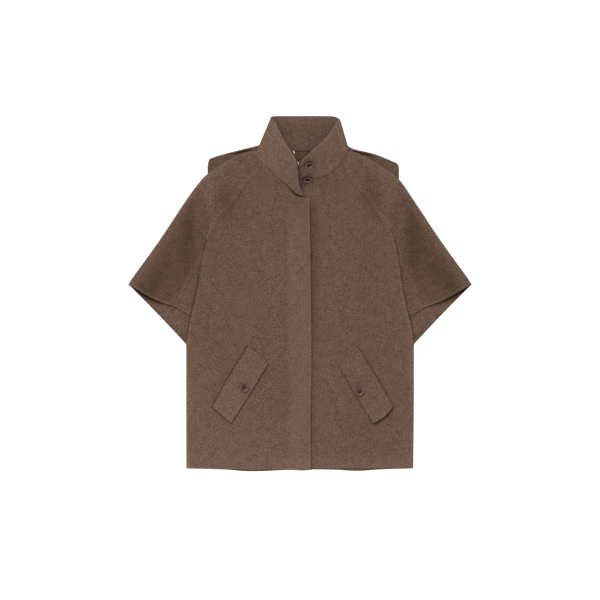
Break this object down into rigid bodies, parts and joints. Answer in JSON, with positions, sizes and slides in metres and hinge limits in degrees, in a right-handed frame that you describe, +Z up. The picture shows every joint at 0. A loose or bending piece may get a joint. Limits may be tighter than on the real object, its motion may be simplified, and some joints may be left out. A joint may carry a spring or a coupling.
{
  "type": "poncho",
  "caption": "Wide-sleeved wool poncho with a stand collar, lapped front, storm flap and slanted pocket flaps, laid flat on its back.",
  "frame": {"origin": "middle of the underside, which rests on the surface", "axes": "+X towards the wearer's left, +Y from the hem to the collar, +Z up off the surface the poncho lies on"},
  "size_m": [0.7916, 0.8173, 0.0624],
  "materials": {
    "wool": "brushed brown melange wool, no sheen",
    "wool_inside": "the same wool, inner face",
    "horn": "polished dark brown, horn look",
    "steel": "bright press-stud half"
  },
  "bodies": {
    "root": {"back_panel": "wool_inside", "storm_flap": "wool", "front_right": "wool", "front_left": "wool", "front_wing_right": "wool", "front_wing_left": "wool", "sleeve_front_right": "wool", "sleeve_front_left": "wool", "sleeve_back_right": "wool_inside", "sleeve_back_left": "wool_inside", "stand_collar": "wool", "pocket_flap_right": "wool", "pocket_flap_left": "wool", "pocket_button_right": "horn", "pocket_button_left": "horn", "collar_button_upper": "horn", "collar_button_lower": "horn", "collar_stud_upper": "steel", "collar_stud_lower": "steel"}
  },
  "joints": []
}
